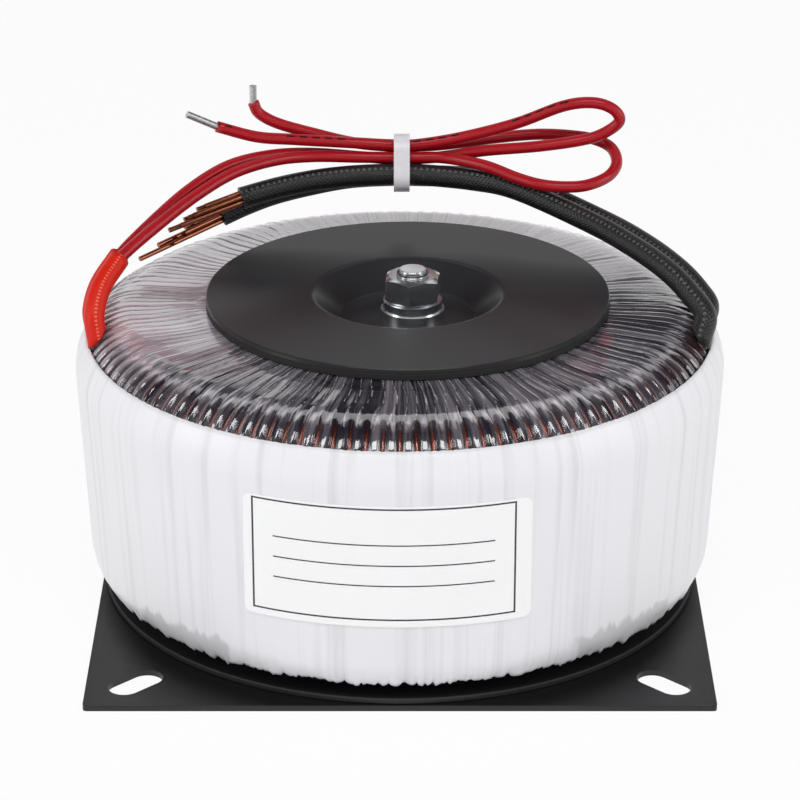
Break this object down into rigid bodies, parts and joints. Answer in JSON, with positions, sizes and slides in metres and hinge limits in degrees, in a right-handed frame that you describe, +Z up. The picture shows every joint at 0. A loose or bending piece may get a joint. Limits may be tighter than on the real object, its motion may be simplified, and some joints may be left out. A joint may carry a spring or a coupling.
{
  "type": "toroidal transformer",
  "caption": "Ring-shaped mains transformer, wrapped in clear film and a white band, clamped on a square slotted plate by a dished washer and bolt, with tied leads.",
  "frame": {"origin": "middle of the mounting plate's underside", "axes": "+Z up along the clamping bolt, +X right, -Y towards the label"},
  "size_m": [0.1628, 0.1629, 0.1155],
  "materials": {
    "black_steel": "powder coated, satin",
    "rubber": "matte",
    "core_steel": "rolled strip",
    "insulation": "matte",
    "copper": "enamelled",
    "clear_film": "clear polyester",
    "white_film": "satin polyester",
    "label_paper": "matte",
    "zinc": "zinc plated",
    "red_sleeving": "silicone",
    "red_pvc": "smooth",
    "tinned_copper": "tinned strand",
    "black_sleeving": "varnished braid",
    "nylon": "natural nylon"
  },
  "bodies": {
    "root": {"mounting_plate": "black_steel", "foot_pad": "rubber", "core": "core_steel", "core_insulation": "insulation", "primary_winding": "copper", "winding_insulation": "insulation", "secondary_winding": "copper", "film_wrap": "clear_film", "side_band": "white_film", "label": "label_paper", "top_pad": "rubber", "clamping_washer": "black_steel", "plain_washer": "zinc", "spring_washer": "zinc", "hex_nut": "zinc", "clamping_bolt": "zinc", "red_sleeve_a": "red_sleeving", "red_sleeve_b": "red_sleeving", "red_lead_a": "red_pvc", "red_lead_b": "red_pvc", "tinned_end_a": "tinned_copper", "tinned_end_b": "tinned_copper", "black_lead_a": "black_sleeving", "black_lead_b": "black_sleeving", "copper_strands_a": "copper", "copper_strands_b": "copper", "cable_tie": "nylon"}
  },
  "joints": []
}
